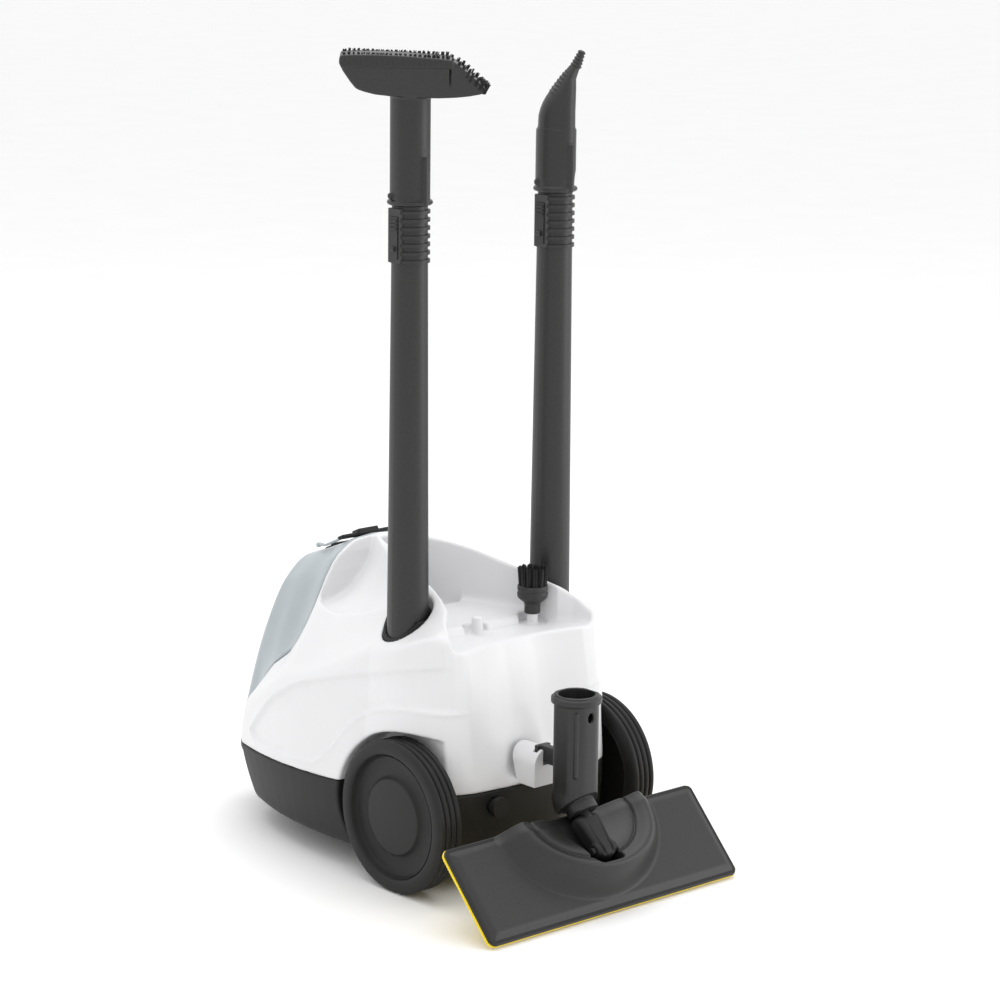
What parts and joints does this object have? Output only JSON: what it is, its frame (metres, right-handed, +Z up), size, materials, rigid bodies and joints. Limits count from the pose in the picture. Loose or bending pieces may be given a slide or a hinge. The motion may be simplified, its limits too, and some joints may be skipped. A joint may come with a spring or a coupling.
{
  "type": "steam cleaner",
  "caption": "Wheeled canister steam cleaner with lift-off water tank, stand-up extension tubes, small nozzles and a parked floor nozzle.",
  "frame": {"origin": "middle of the whole footprint on the ground", "axes": "+Z up, -Y to the machine's front, +X to the machine's left"},
  "size_m": [0.3454, 0.5607, 0.851],
  "materials": {
    "shell_white": "satin moulded",
    "tank_grey": "translucent smoked",
    "base_black": "fine grained",
    "tube_black": "fine grained",
    "button_grey": "smooth",
    "tyre_rubber": "matt",
    "steel": "turned",
    "aluminium": "cast",
    "insulation": "felt",
    "brass": "machined",
    "rubber": "matt",
    "circuit_board": "lacquered",
    "bristle": "bristled",
    "lens": "clear",
    "cloth": "microfibre"
  },
  "bodies": {
    "body": {"base_shell": "base_black", "upper_shell": "shell_white", "parking_bracket": "shell_white", "shell_screws": "steel", "boiler_lower": "aluminium", "boiler_upper": "aluminium", "boiler_insulation": "insulation", "heater_element": "steel", "thermostat": "steel", "safety_valve": "brass", "solenoid_valve": "brass", "steam_pipe": "brass", "suction_pipe": "rubber", "pressure_pipe": "rubber", "water_pump": "base_black", "steam_socket": "tube_black", "panel_switches": "base_black", "control_board": "circuit_board", "indicator_lens": "lens", "tank_seal": "rubber", "cord_gland": "rubber", "rear_axle": "steel", "axle_clips": "steel", "socket_sleeve_left": "base_black", "socket_sleeve_right": "base_black"},
    "wheel_left": {"wheel_hub_left": "base_black", "tyre_left": "tyre_rubber", "wheel_cap_left": "base_black"},
    "wheel_right": {"wheel_hub_right": "base_black", "tyre_right": "tyre_rubber", "wheel_cap_right": "base_black"},
    "caster": {"caster_fork": "base_black", "caster_axle": "steel"},
    "caster_roller": {"caster_wheel": "tyre_rubber"},
    "tank": {"water_tank": "tank_grey", "tank_valve": "rubber"},
    "filler_cap": {"tank_cap": "base_black"},
    "handle": {"tank_handle": "base_black"},
    "dial": {"control_dial": "button_grey"},
    "button": {"power_button": "button_grey"},
    "flap": {"socket_flap": "base_black"},
    "plug": {"maintenance_plug": "base_black"},
    "tube_left": {"extension_tube_left": "tube_black", "lock_spring_left": "steel"},
    "tube_right": {"extension_tube_right": "tube_black", "lock_spring_right": "steel"},
    "lock_left": {"lock_button_left": "button_grey"},
    "lock_right": {"lock_button_right": "button_grey"},
    "hand_head": {"hand_nozzle": "tube_black", "hand_nozzle_bristles": "bristle"},
    "detail_head": {"detail_nozzle": "tube_black", "detail_nozzle_tip": "bristle"},
    "peg_brush": {"round_brush": "base_black", "round_brush_bristles": "bristle"},
    "floor_socket": {"floor_neck": "tube_black"},
    "floor_arm": {"floor_yoke": "base_black", "yoke_pin": "steel"},
    "floor_plate": {"floor_cover": "tube_black", "floor_sole": "base_black", "floor_cloth": "cloth"}
  },
  "joints": [
    {"name": "wheel_left_spin", "type": "hinge", "parent": "body", "child": "wheel_left", "pos_m": [-0.012, 0.079, 0.08], "axis": [1, 0, 0], "continuous": true},
    {"name": "wheel_right_spin", "type": "hinge", "parent": "body", "child": "wheel_right", "pos_m": [-0.012, 0.079, 0.08], "axis": [1, 0, 0], "continuous": true},
    {"name": "caster_swivel", "type": "hinge", "parent": "body", "child": "caster", "pos_m": [-0.012, -0.197, 0.052], "axis": [0, 0, 1], "continuous": true},
    {"name": "caster_spin", "type": "hinge", "parent": "caster", "child": "caster_roller", "pos_m": [-0.012, -0.185, 0.021], "axis": [1, 0, 0], "continuous": true},
    {"name": "tank_lift_off", "type": "slide", "parent": "body", "child": "tank", "axis": [0, -0.7071, 0.7071], "range_m": [0, 0.16]},
    {"name": "filler_cap_lift", "type": "slide", "parent": "tank", "child": "filler_cap", "axis": [0, -0.4138, 0.9104], "range_m": [0, 0.03]},
    {"name": "tank_handle_fold", "type": "hinge", "parent": "tank", "child": "handle", "pos_m": [-0.012, -0.18294, 0.30021], "axis": [1, 0, 0], "range_deg": [0, 90]},
    {"name": "control_dial_turn", "type": "hinge", "parent": "body", "child": "dial", "pos_m": [0.04, -0.271, 0.06], "axis": [0, -1, 0], "range_deg": [0, 240]},
    {"name": "power_button_press", "type": "slide", "parent": "body", "child": "button", "axis": [0, 1, 0], "range_m": [0, 0.003], "stiffness_N_per_m": 400, "springref_m": -0.001},
    {"name": "socket_flap_open", "type": "hinge", "parent": "body", "child": "flap", "pos_m": [-0.012, -0.278, 0.08], "axis": [-1, 0, 0], "range_deg": [0, 85]},
    {"name": "maintenance_plug_out", "type": "slide", "parent": "body", "child": "plug", "axis": [0, 1, 0], "range_m": [0, 0.03]},
    {"name": "tube_left_lift", "type": "slide", "parent": "body", "child": "tube_left", "axis": [0, 0, 1], "range_m": [0, 0.14]},
    {"name": "tube_right_lift", "type": "slide", "parent": "body", "child": "tube_right", "axis": [0, 0, 1], "range_m": [0, 0.14]},
    {"name": "lock_left_press", "type": "slide", "parent": "tube_left", "child": "lock_left", "axis": [-1, 0, 0], "range_m": [0, 0.0014], "stiffness_N_per_m": 300, "springref_m": -0.001},
    {"name": "lock_right_press", "type": "slide", "parent": "tube_right", "child": "lock_right", "axis": [-1, 0, 0], "range_m": [0, 0.0014], "stiffness_N_per_m": 300, "springref_m": -0.001},
    {"name": "hand_nozzle_pull", "type": "slide", "parent": "tube_left", "child": "hand_head", "axis": [0, 0, 1], "range_m": [0, 0.05]},
    {"name": "detail_nozzle_pull", "type": "slide", "parent": "tube_right", "child": "detail_head", "axis": [0, 0, 1], "range_m": [0, 0.05]},
    {"name": "round_brush_pull", "type": "slide", "parent": "body", "child": "peg_brush", "axis": [0, 0, 1], "range_m": [0, 0.05]},
    {"name": "floor_nozzle_unhook", "type": "slide", "parent": "body", "child": "floor_socket", "axis": [0, 0, 1], "range_m": [0, 0.08]},
    {"name": "neck_swivel", "type": "hinge", "parent": "floor_socket", "child": "floor_arm", "pos_m": [0, 0.21753, 0.09453], "axis": [0, -0.6896, 0.7242], "range_deg": [-25, 25]},
    {"name": "plate_tilt", "type": "hinge", "parent": "floor_arm", "child": "floor_plate", "pos_m": [0, 0.24925, 0.06122], "axis": [1, 0, 0], "range_deg": [0, 60]}
  ]
}
